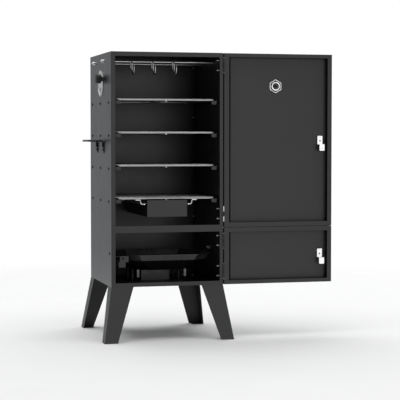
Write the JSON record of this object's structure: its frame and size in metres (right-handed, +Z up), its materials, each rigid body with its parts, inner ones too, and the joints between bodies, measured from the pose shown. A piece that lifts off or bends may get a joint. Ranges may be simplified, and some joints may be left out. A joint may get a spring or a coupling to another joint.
{
  "type": "pellet smoker grill",
  "caption": "Upright sheet-steel smoker cabinet on splayed legs with two hinged doors, sliding wire racks, hanging rods and hooks, a pellet box, a fire pan and swing-away dampers.",
  "frame": {"origin": "floor level, in the middle of the rectangle of the four foot holes", "axes": "+Z up, -Y towards the user in front of the doors, +X towards the side the doors are hinged on"},
  "size_m": [0.9952, 0.536, 1.16],
  "materials": {
    "body_paint": "satin dark grey paint with a fine texture",
    "door_paint": "satin dark grey paint with a fine texture",
    "leg_paint": "satin dark grey paint",
    "zinc": "bright zinc plate",
    "dark_bolt": "painted over",
    "dull_steel": "dull zinc plate",
    "damper_steel": "satin stainless sheet",
    "washer_steel": "pressed washer with bright rim and collar",
    "chrome_wire": "bright plated wire",
    "black_plastic": "matte moulded",
    "handle_black": "black paint",
    "fire_steel": "heat-proof enamel",
    "gauge_steel": "brushed",
    "gauge_dark": "blackened",
    "dial": "white printed dial",
    "needle": "red paint",
    "gauge_glass": "clear"
  },
  "bodies": {
    "cabinet": {"left_panel": "body_paint", "right_panel": "body_paint", "back_panel": "body_paint", "top_panel": "body_paint", "floor_panel": "body_paint", "mid_rail": "body_paint", "back_screws": "zinc", "leg_front_left": "leg_paint", "leg_front_right": "leg_paint", "leg_rear_left": "leg_paint", "leg_rear_right": "leg_paint", "leg_bolts": "zinc", "rack_rails_left": "body_paint", "rack_rails_right": "body_paint", "rail_bolts": "dark_bolt", "hanging_rods": "chrome_wire", "rod_nuts": "zinc", "side_handles": "handle_black", "handle_bolts": "dark_bolt", "cabinet_hinge_leaves": "body_paint", "hinge_pins": "zinc", "hinge_bolts": "zinc", "wall_bracket": "body_paint", "stand_rails": "dull_steel", "stand_base": "body_paint", "ash_box": "fire_steel"},
    "upper_door": {"upper_door": "door_paint", "upper_hinge_leaves": "body_paint", "upper_hinge_screws": "zinc", "thermometer_case": "gauge_steel", "thermometer_dial": "dial", "thermometer_glass": "gauge_glass", "thermometer_ring": "washer_steel", "thermometer_stem": "gauge_dark", "upper_latch_plate": "zinc"},
    "needle": {"thermometer_needle": "needle"},
    "upper_latch": {"upper_latch_handle": "black_plastic", "upper_latch_cam": "zinc"},
    "lower_door": {"lower_door": "door_paint", "lower_hinge_leaves": "body_paint", "lower_hinge_screws": "zinc", "lower_latch_plate": "zinc"},
    "lower_latch": {"lower_latch_handle": "black_plastic", "lower_latch_cam": "zinc"},
    "top_rack": {"rack_1": "chrome_wire"},
    "second_rack": {"rack_2": "chrome_wire"},
    "third_rack": {"rack_3": "chrome_wire"},
    "bottom_rack": {"rack_4": "chrome_wire", "box_runners": "chrome_wire"},
    "box": {"pellet_box": "body_paint"},
    "pan": {"fire_pan": "fire_steel"},
    "left_hook": {"hook_1": "chrome_wire"},
    "middle_hook": {"hook_2": "chrome_wire"},
    "right_hook": {"hook_3": "chrome_wire"},
    "upper_damper": {"upper_damper_cover": "damper_steel", "upper_damper_knob": "black_plastic"},
    "lower_damper": {"lower_damper_cover": "damper_steel", "lower_damper_knob": "black_plastic"}
  },
  "joints": [
    {"name": "upper_door_hinge", "type": "hinge", "parent": "cabinet", "child": "upper_door", "pos_m": [0.2337, -0.227, 0.8], "axis": [0, 0, 1], "range_deg": [-180, 0]},
    {"name": "lower_door_hinge", "type": "hinge", "parent": "cabinet", "child": "lower_door", "pos_m": [0.2337, -0.227, 0.337], "axis": [0, 0, 1], "range_deg": [-180, 0]},
    {"name": "upper_latch_turn", "type": "hinge", "parent": "upper_door", "child": "upper_latch", "pos_m": [0.654, -0.2, 0.805], "axis": [0, 1, 0], "range_deg": [-90, 0]},
    {"name": "lower_latch_turn", "type": "hinge", "parent": "lower_door", "child": "lower_latch", "pos_m": [0.654, -0.2, 0.337], "axis": [0, 1, 0], "range_deg": [-90, 0]},
    {"name": "needle_turn", "type": "hinge", "parent": "upper_door", "child": "needle", "pos_m": [0.462, -0.19, 1.0284], "axis": [0, 1, 0], "range_deg": [-10, 250]},
    {"name": "top_rack_slide", "type": "slide", "parent": "cabinet", "child": "top_rack", "axis": [0, -1, 0], "range_m": [0, 0.35]},
    {"name": "second_rack_slide", "type": "slide", "parent": "cabinet", "child": "second_rack", "axis": [0, -1, 0], "range_m": [0, 0.35]},
    {"name": "third_rack_slide", "type": "slide", "parent": "cabinet", "child": "third_rack", "axis": [0, -1, 0], "range_m": [0, 0.35]},
    {"name": "bottom_rack_slide", "type": "slide", "parent": "cabinet", "child": "bottom_rack", "axis": [0, -1, 0], "range_m": [0, 0.35]},
    {"name": "pellet_box_slide", "type": "slide", "parent": "bottom_rack", "child": "box", "axis": [0, -1, 0], "range_m": [0, 0.33]},
    {"name": "fire_pan_lift", "type": "slide", "parent": "cabinet", "child": "pan", "axis": [0, 0, 1], "range_m": [0, 0.12]},
    {"name": "left_hook_swing", "type": "hinge", "parent": "cabinet", "child": "left_hook", "pos_m": [-0.1145, -0.07, 1.128], "axis": [1, 0, 0], "range_deg": [-25, 25]},
    {"name": "middle_hook_swing", "type": "hinge", "parent": "cabinet", "child": "middle_hook", "pos_m": [-0.026, -0.07, 1.128], "axis": [1, 0, 0], "range_deg": [-25, 25]},
    {"name": "right_hook_swing", "type": "hinge", "parent": "cabinet", "child": "right_hook", "pos_m": [0.0625, -0.07, 1.128], "axis": [1, 0, 0], "range_deg": [-25, 25]},
    {"name": "upper_damper_swing", "type": "hinge", "parent": "cabinet", "child": "upper_damper", "pos_m": [-0.231, -0.058, 1.057], "axis": [1, 0, 0], "range_deg": [-150, 0]},
    {"name": "lower_damper_swing", "type": "hinge", "parent": "cabinet", "child": "lower_damper", "pos_m": [0.231, -0.007, 0.357], "axis": [1, 0, 0], "range_deg": [-90, 0]}
  ]
}
